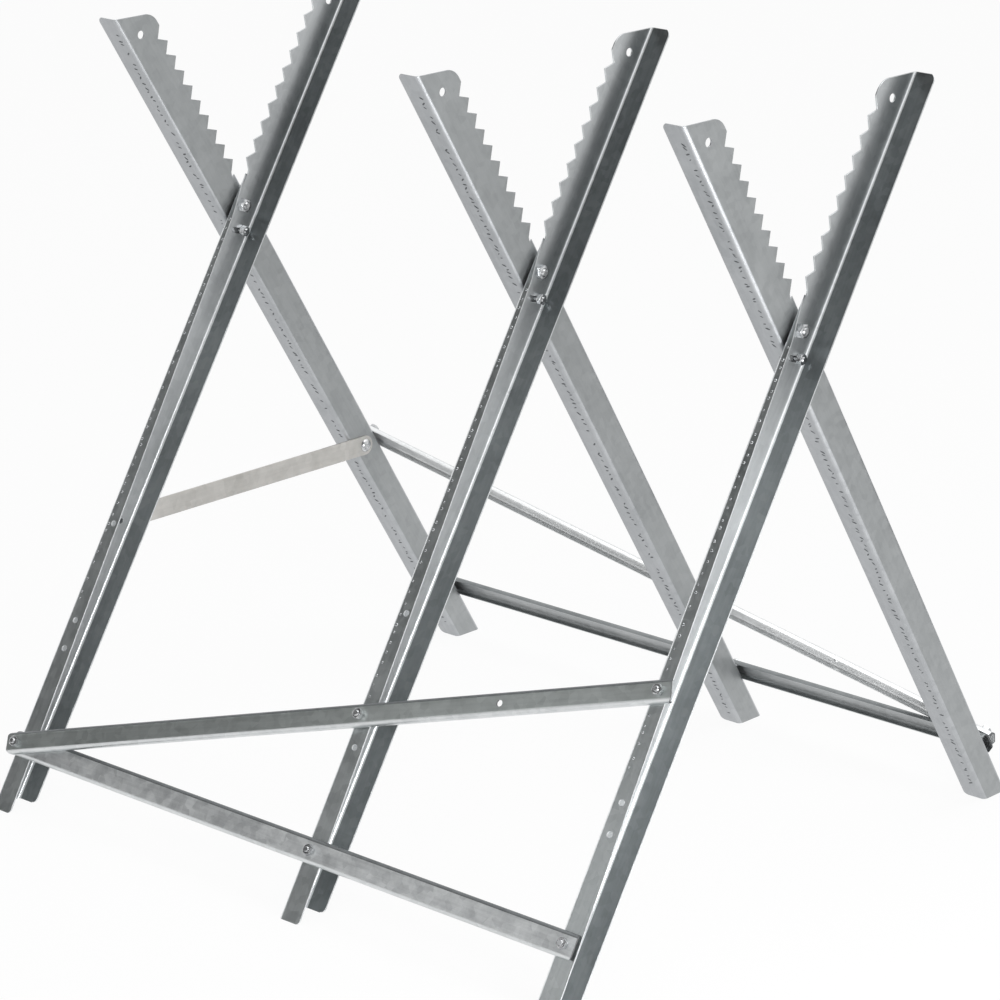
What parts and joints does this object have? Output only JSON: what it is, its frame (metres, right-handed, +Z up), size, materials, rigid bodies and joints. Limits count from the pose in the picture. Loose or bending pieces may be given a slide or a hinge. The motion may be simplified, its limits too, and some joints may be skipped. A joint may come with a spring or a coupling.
{
  "type": "log saw stand",
  "caption": "Folding saw horse for logs: pairs of toothed steel channel legs cross on pivot bolts to form V cradles, tied by rails and braces and held open by a hooked strap.",
  "frame": {"origin": "centre of the stand's footprint, on the floor", "axes": "+X along the log from the strapped frame to the last frame, +Y from the front legs' feet to the rear legs' feet, +Z up"},
  "size_m": [0.8128, 0.753, 0.8],
  "materials": {
    "leg_zinc": "galvanised sheet, grey with spangle",
    "bar_zinc": "galvanised sheet, mottled grey",
    "strap_zinc": "galvanised flat bar, warm light grey",
    "fastener_zinc": "bright zinc plate"
  },
  "bodies": {
    "front frame": {"front_leg_1": "leg_zinc", "front_leg_2": "leg_zinc", "front_leg_3": "leg_zinc", "front_rail": "bar_zinc", "front_brace": "bar_zinc", "front_bar_bolts": "fastener_zinc", "front_bar_nuts": "fastener_zinc", "front_bar_washers": "fastener_zinc", "pivot_bolts": "fastener_zinc", "pivot_nuts": "fastener_zinc", "pivot_spacers": "fastener_zinc", "pivot_washers": "fastener_zinc", "stay_peg": "fastener_zinc"},
    "rear frame": {"rear_leg_1": "leg_zinc", "rear_leg_2": "leg_zinc", "rear_leg_3": "leg_zinc", "rear_rail": "bar_zinc", "rear_brace": "bar_zinc", "rear_bar_bolts": "fastener_zinc", "rear_bar_nuts": "fastener_zinc", "rear_bar_washers": "fastener_zinc", "stay_bolt": "fastener_zinc", "stay_nut": "fastener_zinc", "stay_washer": "fastener_zinc"},
    "stop bolts": {"stop_bolts": "fastener_zinc", "stop_nuts": "fastener_zinc", "stop_washers": "fastener_zinc"},
    "stay strap": {"stay_strap": "strap_zinc"}
  },
  "joints": [
    {"name": "fold", "type": "hinge", "parent": "front frame", "child": "rear frame", "pos_m": [0, 0, 0.578], "axis": [-1, 0, 0], "range_deg": [0, 56]},
    {"name": "stop bolt swing", "type": "hinge", "parent": "front frame", "child": "stop bolts", "pos_m": [0, 0, 0.578], "axis": [-1, 0, 0], "range_deg": [0, 28]},
    {"name": "strap lift", "type": "hinge", "parent": "rear frame", "child": "stay strap", "pos_m": [-0.3775, 0.18595, 0.26843], "axis": [-1, 0, 0], "range_deg": [0, 50]}
  ],
  "couplings": [
    {"joint": "stop bolt swing", "follows": "fold", "ratio": 0.5}
  ]
}
